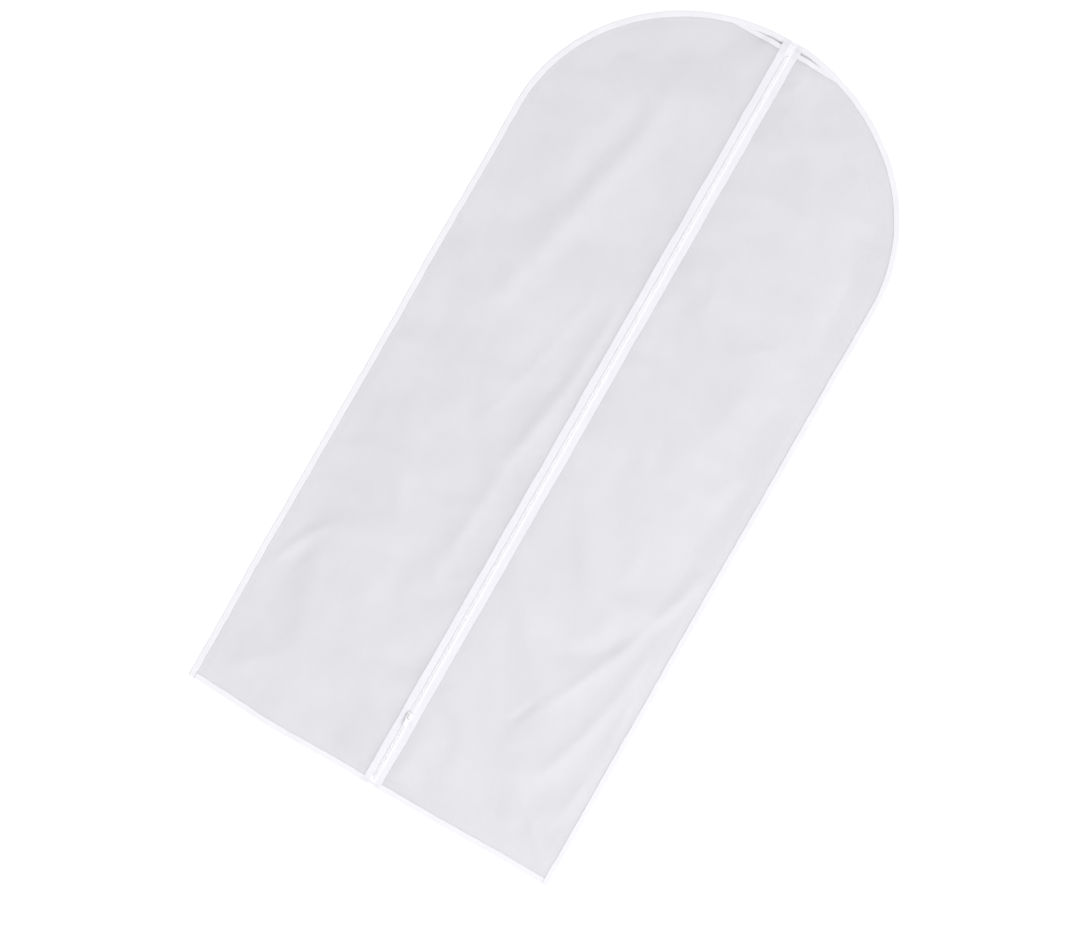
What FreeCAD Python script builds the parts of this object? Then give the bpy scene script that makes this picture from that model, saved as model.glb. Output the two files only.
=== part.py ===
import FreeCAD, Part
import math
import os

# Zip-up garment bag of frosted film, lying on its back with its front face up.
# Frame: millimetres, +Z up out of the front face, +Y towards the hanger opening at the top,
# +X to the right of the zip. The origin is at the middle of the bag, on the surface it lies on.
# A seam's layers, from that surface up, are binding, back film, front film, binding.

# The bag
bag_width = 584.0
bag_length = 1200.0
arch_rise = 270.0            # height of the half ellipse that rounds the two shoulders
film = 0.2                   # thickness of the film

# The binding tape folded round every edge
tape = 0.4                   # thickness of the binding tape
binding_width = 8.5          # how far a leg of the fold reaches in from the edge
film_edge_gap = 0.6          # from the inside of a fold to the film's edge in it
butt_gap = 0.2               # between two bindings that end against each other

# The front's rise above the back
front_height = 9.0           # top of the front film over most of the bag
rise_start_gap = 1.0         # from the binding's leg to where the front starts to rise
rise_run = 21.0              # how far in from there it is fully up

# The hanger opening at the top, between the front's neck edge and the back
neck_drop = 13.0             # the neck edge lies this far below the top of the arch
neck_binding_width = 7.5
mouth_end_gap = 7.0          # from an end of the neck edge to where the opening starts
mouth_side_run = 17.0        # how far each side of the opening takes to come fully up
mouth_depth = 60.0           # how far down the front the raised mouth reaches
neck_leg_lift = 0.9          # the fold's lower leg stops where the film is this far off it

# The zip
zip_width = 28.0
zip_tape = 0.5               # thickness of its tape
chain_gap = 1.6              # between the two tapes, where the slider's post passes
film_side_gap = 1.2          # from the slider's widest point to the front film beside it
zip_end_margin = 1.0         # from the bag's edge to the end of the tape
coil_width = 2.2
coil_height = 2.0
coil_wall = 0.6
cord_clearance = 0.05        # round the filler cord inside a coil
coil_end_gap = 5.0           # from an edge binding to the end of a coil
tape_step_run = 7.0          # the tape climbs onto the neck binding over this length
tape_drop_run = 5.2          # and comes down again to the top binding over this one

# Threads
thread_width = 0.5
thread_height = 0.25
seam_inset = 6.0             # a binding's seam from the bag's edge
neck_seam_inset = 5.0        # the neck binding's seam from the neck edge
zip_seam_inset = 2.2         # the zip's seam from the edge of its tape
thread_end_gap = 0.4
bartack_half = 11.0
bartack_length = 2.4
bartack_height = 0.6
bartack_margin = 3.0         # from the bag's edge

# The slider, at the closing end of its travel
slider_from_bottom = 112.5   # its middle, from the bag's bottom edge
slider_length = 11.0
slider_flange = 0.75         # thickness of a flange at the narrow end
slider_flare = 0.7           # how much further out the flanges are at the wide end
slider_corner = 0.8
plate = 1.0                  # thickness of its upper and lower plates
slider_gap = 0.25            # between the slider and what runs through it
flange_side_gap = 0.35       # from a coil to the flange beside it
post_half = 0.3
post_length = 3.4
post_margin = 0.6            # from the slider's nose to its post
crown_half_length = 4.2
crown_leg = 1.3
crown_width = 2.0
crown_bar = 0.9
crown_lean = 0.8             # how far each leg leans in by the top

# The pull tab
tab_bar_radius = 0.65
tab_bar_gap = 0.3            # round the bar in the crown's slot
tab_window_gap = 0.5         # round the crown's leg
tab_rim = 1.5                # from the window to the tab's side
tab_taper = 0.5              # how much narrower each side is at the tip
tab_corner = 1.0
tab_reach = 16.0             # from its bar to its tip
tab_thickness = 1.2
tab_tilt = 1.0               # degrees that it leans down at rest

half_width = bag_width / 2
half_length = bag_length / 2
arch_centre = half_length - arch_rise
back_bottom = tape
border_top = tape + 2 * film
leg_top = border_top + tape
rise_start = binding_width + rise_start_gap
rise_end = rise_start + rise_run
neck_edge = half_length - neck_drop
under_depth = 20.0           # how far the shape under a layer reaches down
chain_half = chain_gap / 2
tape_half = zip_width / 2
coil_far = chain_half + coil_width
flange_inside = coil_far + flange_side_gap
slider_rear_half = flange_inside + slider_flange
slider_front_half = slider_rear_half + slider_flare
film_half = slider_front_half + film_side_gap
slider_y = -half_length + slider_from_bottom
tape_top = front_height + zip_tape
coil_top = tape_top + coil_height
upper_plate_bottom = coil_top + thread_height + slider_gap
upper_plate_top = upper_plate_bottom + plate
crown_slot = 2 * (tab_bar_radius + tab_bar_gap)
pivot_z = upper_plate_top + crown_slot / 2
tab_window_half = crown_width / 2 + tab_window_gap
tab_half_width = tab_window_half + tab_rim


def box(x0, x1, y0, y1, z0, z1):
    return Part.makeBox(x1 - x0, y1 - y0, z1 - z0, FreeCAD.Vector(x0, y0, z0))


def prism(points, thickness):
    """A solid from a flat closed outline, pushed out by the vector thickness."""
    corners = [FreeCAD.Vector(*p) for p in points]
    return Part.Face(Part.makePolygon(corners + corners[:1])).extrude(FreeCAD.Vector(*thickness))


def arch_edge(inset, z):
    """The half ellipse over the shoulders, from the right side to the left."""
    centre = FreeCAD.Vector(0, arch_centre, z)
    across = half_width - inset
    up = arch_rise - inset
    right = centre + FreeCAD.Vector(across, 0, 0)
    top = centre + FreeCAD.Vector(0, up, 0)
    if across >= up:
        return Part.Arc(Part.Ellipse(right, top, centre), 0, math.pi).toShape()
    left = centre - FreeCAD.Vector(across, 0, 0)
    return Part.Arc(Part.Ellipse(top, left, centre), -math.pi / 2, math.pi / 2).toShape()


def outline(inset, z, bottom=None):
    """The bag's outline, moved in by inset. Its bottom edge can be set by itself."""
    side = half_width - inset
    low = inset - half_length if bottom is None else bottom
    arch = arch_edge(inset, z)
    lower = [FreeCAD.Vector(-side, arch_centre, z), FreeCAD.Vector(-side, low, z)]
    lower += [FreeCAD.Vector(side, low, z), FreeCAD.Vector(side, arch_centre, z)]
    edges = [Part.makeLine(a, b) for a, b in zip(lower, lower[1:])]
    return Part.Wire(edges + [arch])


def slab(inset, z0, z1, bottom=None):
    return Part.Face(outline(inset, z0, bottom)).extrude(FreeCAD.Vector(0, 0, z1 - z0))


def mouth_x(height):
    """How far from the middle the side of the raised mouth is at that height."""
    up = (neck_edge - arch_centre) / (arch_rise - binding_width)
    neck_half = (half_width - binding_width) * math.sqrt(1 - up * up)
    share = (height - border_top) / (front_height - border_top)
    return neck_half - mouth_end_gap - mouth_side_run * share


def front_form():
    """The solid whose top is the top of the front film, down to well below the bag."""
    base = slab(0, -under_depth, border_top)
    rise = Part.makeLoft([outline(rise_start, border_top), outline(rise_end, front_height)], True, True)
    foot = mouth_x(border_top)
    top = mouth_x(front_height)
    corners = [(-foot, border_top), (-top, front_height), (top, front_height), (foot, border_top)]
    mouth = prism([(x, half_length - mouth_depth, z) for x, z in corners], (0, mouth_depth, 0))
    return base.fuse([rise, mouth.common(slab(0, 0, front_height))]).removeSplitter()


def layer(form, low, high):
    """What lies between low and high above the form's top."""
    upper = form.translated(FreeCAD.Vector(0, 0, high))
    return upper.cut(form.translated(FreeCAD.Vector(0, 0, low)))


def zip_path():
    """Where the underside of the zip's tape runs, as (y, z) from the bottom to the top."""
    neck_top = front_height + tape
    neck_low = neck_edge + tape - neck_binding_width
    return [
        (zip_end_margin - half_length, leg_top),
        (binding_width - half_length, leg_top),
        (rise_end - half_length, front_height),
        (neck_low - tape_step_run, front_height),
        (neck_low, neck_top),
        (neck_edge + tape, neck_top),
        (neck_edge + tape + tape_drop_run, leg_top),
        (half_length - zip_end_margin, leg_top),
    ]


def path_z(y):
    path = zip_path()
    for (y0, z0), (y1, z1) in zip(path, path[1:]):
        if y0 <= y <= y1:
            return z0 + (z1 - z0) * (y - y0) / (y1 - y0)
    raise ValueError("y is off the zip")


def ribbon(side, near, reach, low, high, start=None, end=None):
    """A strip along the zip on one side of it, low to high above the underside of its tape."""
    path = zip_path()
    start = path[0][0] if start is None else start
    end = path[-1][0] if end is None else end
    stations = [start] + [y for y, z in path if start < y < end] + [end]
    x0, x1 = sorted((side * near, side * reach))
    lower = [(x0, y, path_z(y) + low) for y in stations]
    upper = [(x0, y, path_z(y) + high) for y in reversed(stations)]
    return prism(lower + upper, (x1 - x0, 0, 0))


def back_panel():
    return slab(tape + film_edge_gap, back_bottom, back_bottom + film)


def front_panel(side, form):
    sheet = layer(form, -film, 0).common(slab(tape + film_edge_gap, 0, front_height))
    x0, x1 = sorted((side * film_half, side * bag_width))
    return sheet.common(box(x0, x1, -bag_length, neck_edge, 0, front_height))


def edge_binding():
    """One tape up the left side, over both shoulders and down the right side."""
    below = -half_length - binding_width
    fold = slab(0, 0, leg_top).cut(slab(binding_width, 0, leg_top, below))
    return fold.cut(slab(tape, tape, border_top, below))


def bottom_binding():
    reach = half_width - binding_width - butt_gap
    low = -half_length
    fold = box(-reach, reach, low, low + binding_width, 0, leg_top)
    return fold.cut(box(-reach, reach, low + tape, low + binding_width, tape, border_top))


def neck_binding(side, form):
    """The fold over the front's free edge. Its lower leg stops where the film comes down to the back."""
    inner = slab(binding_width + butt_gap, 0, front_height + tape)
    low_end = neck_edge + tape - neck_binding_width
    lift = border_top + tape + neck_leg_lift

    def part_of(low, high, reach, y0, y1):
        x0, x1 = sorted((side * film_half, side * reach))
        return layer(form, low, high).common(box(x0, x1, y0, y1, 0, front_height + tape))

    upper = part_of(0, tape, half_width, low_end, neck_edge)
    lower = part_of(-film - tape, -film, mouth_x(lift), low_end, neck_edge)
    fold = part_of(-film - tape, tape, mouth_x(lift), neck_edge, neck_edge + tape)
    return upper.common(inner).fuse([lower.common(inner), fold.common(inner)]).removeSplitter()


def zip_tape_half(side):
    return ribbon(side, chain_half, tape_half, 0, zip_tape)


def coil_ends():
    reach = half_length - binding_width - coil_end_gap
    return -reach, neck_edge + tape - neck_binding_width - coil_end_gap


def zip_coil(side):
    """The outer shape of one row of nylon coil, hollow for its filler cord."""
    start, end = coil_ends()
    body = ribbon(side, chain_half, coil_far, zip_tape, zip_tape + coil_height, start, end)
    low = zip_tape + coil_wall
    high = zip_tape + coil_height - coil_wall
    return body.cut(ribbon(side, chain_half + coil_wall, coil_far - coil_wall, low, high, start, end))


def coil_cord(side):
    start, end = coil_ends()
    inner = coil_wall + cord_clearance
    low = zip_tape + inner
    high = zip_tape + coil_height - inner
    return ribbon(side, chain_half + inner, coil_far - inner, low, high, start, end)


def coil_thread(side):
    """The thread that holds a coil to its tape, where it lies on top of the coil."""
    start, end = coil_ends()
    near = (chain_half + coil_far - thread_width) / 2
    low = zip_tape + coil_height
    return ribbon(side, near, near + thread_width, low, low + thread_height, start, end)


def zip_seam_thread(side):
    near = tape_half - zip_seam_inset - thread_width
    return ribbon(side, near, near + thread_width, zip_tape, zip_tape + thread_height,
                  binding_width - half_length, neck_edge)


def bartack(end):
    """The bar of stitches that closes one end of the zip: end is 1 at the top and -1 at the bottom."""
    near = half_length - bartack_margin - bartack_length
    start, stop = sorted((end * near, end * (near + bartack_length)))
    return ribbon(1, -bartack_half, bartack_half, zip_tape, zip_tape + bartack_height, start, stop)


def edge_seam_thread():
    """The edge binding's seam, broken where the zip's tape crosses it."""
    end = zip_end_margin - half_length
    line = slab(seam_inset - thread_width, leg_top, leg_top + thread_height, end)
    line = line.cut(slab(seam_inset, leg_top, leg_top + thread_height, end - binding_width))
    clear = tape_half + thread_end_gap
    return line.cut(box(-clear, clear, 0, bag_length, leg_top, leg_top + thread_height))


def bottom_seam_thread():
    y = seam_inset - half_length
    near = tape_half + thread_end_gap
    reach = half_width - binding_width - butt_gap
    runs = [sorted((side * near, side * reach)) for side in (-1, 1)]
    return Part.makeCompound(
        [box(x0, x1, y - thread_width, y, leg_top, leg_top + thread_height) for x0, x1 in runs]
    )


def neck_seam_thread(side, form):
    y = neck_edge - neck_seam_inset
    x0, x1 = sorted((side * (tape_half + thread_end_gap), side * half_width))
    inner = slab(binding_width + butt_gap, 0, front_height + leg_top)
    line = layer(form, tape, tape + thread_height)
    return line.common(box(x0, x1, y, y + thread_width, 0, front_height + leg_top)).common(inner)


def slider_outline(z):
    """The plates' outline, wider at the nose, which points at the bag's bottom edge."""
    back = slider_length / 2
    waist = back / 3
    right = [(slider_rear_half, back), (slider_rear_half, waist), (slider_front_half, -waist)]
    right += [(slider_front_half - slider_corner, -back)]
    corners = right + [(-x, y) for x, y in reversed(right)]
    return [(x, slider_y + y, z) for x, y in corners]


def slider_body():
    lower_top = front_height - slider_gap
    lower = prism(slider_outline(lower_top - plate), (0, 0, plate))
    upper = prism(slider_outline(upper_plate_bottom), (0, 0, plate))
    flange_low = tape_top + slider_gap
    flanges = prism(slider_outline(flange_low), (0, 0, upper_plate_bottom - flange_low))
    y0 = slider_y - slider_length / 2
    y1 = slider_y + slider_length / 2
    channel = box(-flange_inside, flange_inside, y0, y1, flange_low, upper_plate_bottom)
    flanges = flanges.cut(channel)
    nose = y0 + post_margin
    post = box(-post_half, post_half, nose, nose + post_length, lower_top, upper_plate_bottom)
    return lower.fuse([upper, flanges, post, crown()]).removeSplitter()


def crown():
    """The bridge on the upper plate that the tab's bar hangs in."""
    top = upper_plate_top + crown_slot + crown_bar
    foot = crown_half_length
    head = crown_half_length - crown_lean
    outer = [(foot, upper_plate_top), (head, top), (-head, top), (-foot, upper_plate_top)]
    arch = prism([(-crown_width / 2, slider_y + y, z) for y, z in outer], (crown_width, 0, 0))
    slot = crown_half_length - crown_leg
    x = crown_width / 2
    slot_top = upper_plate_top + crown_slot
    return arch.cut(box(-x, x, slider_y - slot, slider_y + slot, upper_plate_top, slot_top))


def pull_tab():
    """The tab with the window that the crown stands in, leaning down from its bar."""
    window_end = crown_half_length + tab_window_gap
    half = tab_thickness / 2
    shoulder = window_end + tab_half_width / 2
    tip_half = tab_half_width - tab_taper
    right = [(tab_half_width, 0), (tab_half_width, -shoulder), (tip_half, tab_corner - tab_reach)]
    right += [(tip_half - tab_corner, -tab_reach)]
    corners = right + [(-x, y) for x, y in reversed(right)]
    body = prism([(x, y, -half) for x, y in corners], (0, 0, tab_thickness))
    window = box(-tab_window_half, tab_window_half, -window_end, half, -half, half)
    bar = Part.makeCylinder(tab_bar_radius, 2 * tab_half_width, FreeCAD.Vector(-tab_half_width, 0, 0),
                            FreeCAD.Vector(1, 0, 0))
    tab = body.cut(window).fuse(bar).removeSplitter()
    tab.rotate(FreeCAD.Vector(0, 0, 0), FreeCAD.Vector(1, 0, 0), tab_tilt)
    tab.translate(FreeCAD.Vector(0, slider_y, pivot_z))
    return tab


def parts():
    form = front_form()
    made = {
        "back_panel": back_panel(),
        "edge_binding": edge_binding(),
        "bottom_binding": bottom_binding(),
        "edge_seam_thread": edge_seam_thread(),
        "bottom_seam_thread": bottom_seam_thread(),
        "zip_bartack_top": bartack(1),
        "zip_bartack_bottom": bartack(-1),
        "zip_slider_body": slider_body(),
        "zip_pull_tab": pull_tab(),
    }
    for name, side in (("left", -1), ("right", 1)):
        made["front_panel_" + name] = front_panel(side, form)
        made["neck_binding_" + name] = neck_binding(side, form)
        made["neck_seam_thread_" + name] = neck_seam_thread(side, form)
        made["zip_tape_" + name] = zip_tape_half(side)
        made["zip_coil_" + name] = zip_coil(side)
        made["zip_coil_cord_" + name] = coil_cord(side)
        made["zip_coil_thread_" + name] = coil_thread(side)
        made["zip_seam_thread_" + name] = zip_seam_thread(side)
    return made


os.makedirs("parts", exist_ok=True)
for node, shape in sorted(parts().items()):
    shape.exportStep("parts/" + node + ".step")
    low = shape.BoundBox
    print(f"{node:26s} {len(shape.Solids)} solid(s) {shape.Volume:10.1f} mm3 valid {shape.isValid()}"
          f" z {low.ZMin:.2f} to {low.ZMax:.2f}")
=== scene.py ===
import math
import bpy
import numpy as np
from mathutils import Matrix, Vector, noise


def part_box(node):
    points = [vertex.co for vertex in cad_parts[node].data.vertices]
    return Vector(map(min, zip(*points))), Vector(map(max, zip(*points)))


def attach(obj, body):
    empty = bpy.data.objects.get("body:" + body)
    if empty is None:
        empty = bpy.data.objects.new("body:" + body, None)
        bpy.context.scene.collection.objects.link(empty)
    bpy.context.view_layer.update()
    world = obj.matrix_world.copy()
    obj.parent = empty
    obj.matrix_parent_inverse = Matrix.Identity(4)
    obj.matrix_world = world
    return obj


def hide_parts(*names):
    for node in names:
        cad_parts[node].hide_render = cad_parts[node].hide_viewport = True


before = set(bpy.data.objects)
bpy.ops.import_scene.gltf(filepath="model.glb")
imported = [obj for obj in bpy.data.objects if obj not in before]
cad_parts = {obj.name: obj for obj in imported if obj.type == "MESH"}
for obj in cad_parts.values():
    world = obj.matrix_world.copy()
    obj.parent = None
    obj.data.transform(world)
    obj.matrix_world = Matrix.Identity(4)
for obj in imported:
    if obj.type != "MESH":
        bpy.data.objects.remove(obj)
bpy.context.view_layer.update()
mm = 0.001

# the bag lies on its back: +Z is out of the front, +Y towards the hanger opening
edgeLow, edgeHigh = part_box("edge_binding")
bottomLow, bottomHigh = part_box("bottom_binding")
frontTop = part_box("front_panel_left")[1].z
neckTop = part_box("neck_binding_left")[1].y
zipLow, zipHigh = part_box("zip_tape_left")
zipHalf = -zipLow.x
coilLow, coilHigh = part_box("zip_coil_left")

bag = dict(
    halfWidth=edgeHigh.x,
    halfLength=-edgeLow.y,
    archRise=270 * mm,
    film=0.2 * mm,
    bindingTape=0.4 * mm,
    bindingWidth=bottomHigh.y - bottomLow.y,
    seamTop=edgeHigh.z,      # top of a bound edge
    frontTop=frontTop,
    riseStart=9.5 * mm,      # how far in from the edge the front starts to rise
    riseRun=120 * mm,
    zipRiseRun=20 * mm,      # it rises sooner under the zip
    zipFoot=85 * mm,
    zipFootRun=65 * mm,
    mouthFoot=45 * mm,       # half the opening where the front meets the back
    mouthRun=17 * mm,
    mouthDepth=60 * mm,
    mouthFade=20 * mm,
    neckSag=0.52,            # the free edge at the hanger opening sinks by this share
    neckSagRun=14 * mm,
)
archCentre = bag["halfLength"] - bag["archRise"]
borderTop = bag["seamTop"] - bag["bindingTape"]


def report(stage):
    print("garment bag:", stage)


# ---- how the soft pieces lie ----

lie = dict(
    shift=-6.5 * mm,         # the sides lie this far over from the zip
    shiftRun=120 * mm,
    wander=1.6 * mm,         # slow wander of the edges
    wanderScale=5.5,
    ripple=0.5 * mm,         # puckers of a sewn edge
    rippleScale=45,
    cornerLift=8 * mm,       # the bottom left corner is drawn up
    cornerRun=160 * mm,
    chain=4 * mm,            # the zip's chain stays straight, this far to each side of its middle
    still=6 * mm,            # and the wander and puckers start this far out
    stillRun=30 * mm,
)


def wobble(x, y, scale, seed):
    # smooth noise from -1 to 1, one value for each point
    flat = zip(np.ravel(x) * scale, np.ravel(y) * scale)
    return np.array([noise.noise(Vector((a, b, seed))) for a, b in flat]).reshape(np.shape(x))


def ease(t):
    t = np.clip(t, 0, 1)
    return t * t * (3 - 2 * t)


def insetOf(x, y):
    # how far a point is in from the outline
    across = np.abs(x)
    up = np.maximum(y - archCentre, 0)
    ring = np.maximum(np.hypot(across / bag["halfWidth"], up / bag["archRise"]), 1e-6)
    arch = np.hypot(across, up) * (1 / ring - 1)
    side = np.where(y > archCentre, arch, bag["halfWidth"] - across)
    return np.minimum(side, y + bag["halfLength"])


def frontHeight(x, y):
    # top of the front film where nothing has creased it
    inset = insetOf(x, y) - bag["riseStart"]
    rise = ease(inset / bag["riseRun"])
    spine = ease(inset / bag["zipRiseRun"]) * ease((bag["zipFoot"] - np.abs(x)) / bag["zipFootRun"])
    mouth = ease((bag["mouthFoot"] - np.abs(x)) / bag["mouthRun"])
    mouth = mouth * ease((y - bag["halfLength"] + bag["mouthDepth"]) / bag["mouthFade"] + 1)
    share = 1 - (1 - rise) * (1 - spine) * (1 - mouth)
    share = share * (1 - bag["neckSag"] * ease((y - neckTop) / bag["neckSagRun"] + 1))
    return borderTop + (bag["frontTop"] - borderTop) * share


def layDown(points):
    # moves the points of a soft piece sideways, as the bag lies; the zip's chain stays straight
    x, y = points[:, 0], points[:, 1]
    free = ease((np.abs(x) - lie["chain"]) / lie["shiftRun"])
    away = ease((np.abs(x) - lie["still"]) / lie["stillRun"])
    moved = points.copy()
    moved[:, 0] += lie["shift"] * free
    moved[:, 0] += away * lie["wander"] * wobble(x * 0.3, y, lie["wanderScale"], 1.7)
    moved[:, 0] += away * lie["ripple"] * wobble(x * 0.2, y, lie["rippleScale"], 4.1)
    moved[:, 1] += away * lie["wander"] * wobble(x, y * 0.3, lie["wanderScale"], 8.3)
    moved[:, 1] += away * lie["ripple"] * wobble(x, y * 0.2, lie["rippleScale"], 6.6)
    fromLeft = ease(1 - (x + bag["halfWidth"]) / lie["cornerRun"])
    moved[:, 1] += lie["cornerLift"] * fromLeft * ease(1 - (y + bag["halfLength"]) / lie["cornerRun"])
    return moved


# ---- mesh helpers ----

def pickNothing():
    if bpy.context.object and bpy.context.object.mode != "OBJECT":
        bpy.ops.object.mode_set(mode="OBJECT")
    bpy.ops.object.select_all(action="DESELECT")


def pick(piece):
    pickNothing()
    piece.select_set(True)
    bpy.context.view_layer.objects.active = piece
    return piece


def pointsOf(piece):
    flat = np.empty(len(piece.data.vertices) * 3)
    piece.data.vertices.foreach_get("co", flat)
    return flat.reshape(-1, 3)


def putPoints(piece, points):
    piece.data.vertices.foreach_set("co", np.ascontiguousarray(points, dtype=float).ravel())
    piece.data.update()


def applyAll(piece):
    pick(piece)
    for modifier in list(piece.modifiers):
        bpy.ops.object.modifier_apply(modifier=modifier.name)
    return piece


def settle(piece):
    # leaves the object at the origin, unturned and unscaled
    pick(piece)
    bpy.ops.object.transform_apply(location=True, rotation=True, scale=True)
    return piece


def smooth(piece, angle=40):
    pick(piece)
    bpy.ops.object.shade_smooth_by_angle(angle=math.radians(angle))
    return piece


def grid(name, width, length, cell, across=0):
    # a flat strip from x = 0 to width and y = 0 to length
    pickNothing()
    across = across or max(1, round(width / cell))
    along = max(1, round(length / cell))
    bpy.ops.mesh.primitive_grid_add(x_subdivisions=across, y_subdivisions=along, size=1)
    piece = bpy.context.object
    piece.name = name
    piece.data.name = name
    piece.location = (width / 2, length / 2, 0)
    piece.scale = (width, length, 1)
    return settle(piece)


def finishPiece(piece, material, slot, body, *nodes):
    piece.data.materials.clear()
    piece.data.materials.append(material)
    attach(piece, body)
    if nodes:
        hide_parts(*nodes)
    return piece


# ---- materials ----

class Wire:
    # a socket that arithmetic can be done on
    def __init__(self, finish, socket):
        self.finish = finish
        self.socket = socket

    def sum(self, operation, a, b):
        return self.finish.add("Math", {"operation": operation}, {0: a, 1: b})

    def __add__(self, other):
        return self.sum("ADD", self, other)

    def __radd__(self, other):
        return self.sum("ADD", other, self)

    def __sub__(self, other):
        return self.sum("SUBTRACT", self, other)

    def __rsub__(self, other):
        return self.sum("SUBTRACT", other, self)

    def __mul__(self, other):
        return self.sum("MULTIPLY", self, other)

    def __rmul__(self, other):
        return self.sum("MULTIPLY", other, self)

    def top(self, other):
        return self.sum("MAXIMUM", self, other)

    def step(self, low, high):
        # 0 below low, 1 above high, smooth between
        settings = {"interpolation_type": "SMOOTHSTEP"}
        return self.finish.add("MapRange", settings, {"Value": self, "From Min": low, "From Max": high})


class Finish:
    # one material and the nodes in it
    def __init__(self, name, **surface):
        self.material = bpy.data.materials.new(name)
        self.material.use_nodes = True
        self.tree = self.material.node_tree
        self.tree.nodes.clear()
        self.place = self.add("TexCoord", {}, {}, "Object")
        self.shader = self.tree.nodes.new("ShaderNodeBsdfPrincipled")
        self.surface(**surface)
        output = self.tree.nodes.new("ShaderNodeOutputMaterial")
        self.tree.links.new(self.shader.outputs[0], output.inputs["Surface"])

    def put(self, socket, value):
        if isinstance(value, Wire):
            self.tree.links.new(value.socket, socket)
        elif isinstance(value, tuple) and len(value) == 3 and len(socket.default_value) == 4:
            socket.default_value = (*value, 1)
        else:
            socket.default_value = value

    def add(self, kind, settings, inputs, output=0):
        node = self.tree.nodes.new("ShaderNode" + kind)
        for name, value in settings.items():
            setattr(node, name, value)
        for name, value in inputs.items():
            self.put(node.inputs[name], value)
        return Wire(self, node.outputs[output])

    def surface(self, **values):
        for name, value in values.items():
            self.put(self.shader.inputs[name.replace("_", " ")], value)

    def noise(self, scale, detail=3, rough=0.5, place=None):
        inputs = {"Vector": place or self.place, "Scale": scale, "Detail": detail, "Roughness": rough}
        return self.add("TexNoise", {}, inputs)

    def stretch(self, x, y, z, turn=0):
        inputs = {"Vector": self.place, "Scale": (x, y, z), "Rotation": (0, 0, math.radians(turn))}
        return self.add("Mapping", {}, inputs)

    def blend(self, share, a, b):
        # mixes two colours; the colour sockets of a Mix node are 6 and 7
        return self.add("Mix", {"data_type": "RGBA"}, {0: share, 6: a, 7: b}, 2)

    def bump(self, height, distance, strength=1.0):
        inputs = {"Height": height, "Distance": distance, "Strength": strength}
        self.surface(Normal=self.add("Bump", {}, inputs))


filmLook = dict(
    pale=(0.775, 0.768, 0.80),
    deep=(0.74, 0.732, 0.765),
    alpha=0.66,
    grain=1400,
)


def frostedFilm():
    finish = Finish("frosted film", IOR=1.45, Specular_IOR_Level=0.35)
    cloud = finish.noise(9, 4, 0.55)
    streak = finish.noise(13, 3, 0.5, finish.stretch(1.5, 0.7, 1, 24))
    grain = finish.noise(filmLook["grain"], 2, 0.6)
    crinkle = finish.noise(60, 4, 0.6, finish.stretch(1, 0.45, 1, -18))
    tint = (cloud * 0.7 + streak * 0.3).step(0.25, 0.75)
    finish.surface(
        Base_Color=finish.blend(tint, filmLook["deep"], filmLook["pale"]),
        Roughness=0.38 + 0.14 * cloud + 0.1 * grain,
        Alpha=filmLook["alpha"] + 0.04 * streak + 0.03 * grain,
    )
    finish.bump(grain * 0.05 + crinkle * 0.7, 0.5 * mm, 0.6)
    return finish.material


bindingLook = dict(pale=(0.755, 0.75, 0.785), deep=(0.70, 0.695, 0.73), dot=900)


def nonWoven():
    # spun-bonded tape: loose fibres pressed flat in a grid of small dimples
    finish = Finish("non-woven tape", Sheen_Weight=0.25, Sheen_Roughness=0.6)
    fibres = finish.noise(1500, 3, 0.7, finish.stretch(1, 0.18, 1, 33))
    crossed = finish.noise(1500, 3, 0.7, finish.stretch(1, 0.18, 1, -41))
    press = {"Vector": finish.place, "Scale": bindingLook["dot"], "Randomness": 0.15}
    dimples = finish.add("TexVoronoi", {}, press, "Distance")
    soil = finish.noise(35, 3)
    web = fibres.top(crossed)
    shade = (web * 0.6 + soil * 0.4).step(0.3, 0.65)
    finish.surface(
        Base_Color=finish.blend(shade, bindingLook["deep"], bindingLook["pale"]),
        Roughness=0.75 + 0.15 * soil,
    )
    finish.bump(web * 0.6 + dimples.step(0.1, 0.45) * 0.5, 0.12 * mm, 0.8)
    return finish.material


zipLook = dict(
    pale=(0.765, 0.76, 0.80),
    deep=(0.705, 0.70, 0.74),
    chainLit=(0.83, 0.825, 0.86),       # painted light: the tape beside the chain is lightened to cancel the shade the coil casts on it
    rib=2400,
    stripe=1.5 * mm,
    chainLitRun=(3.0 * mm, 6.5 * mm),   # the painted light fades out between these distances from the chain
)


def wovenTape():
    # herringbone: the ribs lean one way on one side of each stripe and back on the other
    finish = Finish("woven zip tape", Sheen_Weight=0.2, Sheen_Roughness=0.5)
    parts = finish.add("SeparateXYZ", {}, {0: finish.place}, "X")
    along = Wire(finish, parts.socket.node.outputs["Y"])
    stripe = finish.add("Math", {"operation": "PINGPONG"}, {0: parts, 1: zipLook["stripe"]})
    weft = finish.add("Math", {"operation": "SINE"}, {0: (stripe + along) * zipLook["rib"] * 3})
    warp = finish.add("Math", {"operation": "SINE"}, {0: parts * zipLook["rib"] * 5})
    fuzz = finish.noise(2200, 2, 0.7)
    soil = finish.noise(28, 3)
    relief = weft * 0.35 + warp * 0.15 + fuzz * 0.4
    cloth = finish.blend((relief * 0.5 + soil * 0.5).step(0.1, 0.6), zipLook["deep"], zipLook["pale"])
    fromChain = finish.add("Math", {"operation": "ABSOLUTE"}, {0: parts})
    # painted light: the tape is lightened near the chain, where the coil shades it
    chainLitShare = 1 - fromChain.step(*zipLook["chainLitRun"])
    finish.surface(
        Base_Color=finish.blend(chainLitShare, cloth, zipLook["chainLit"]),
        Roughness=0.7 + 0.15 * fuzz,
    )
    finish.bump(relief, 0.12 * mm, 0.7)
    return finish.material


# white nylon and thread are given a faint painted glow, though they are no lamp, to lift the shade between
# the coil's turns
paintedGlow = dict(Emission_Color=(0.93, 0.93, 1.0), Emission_Strength=0.05)


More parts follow.
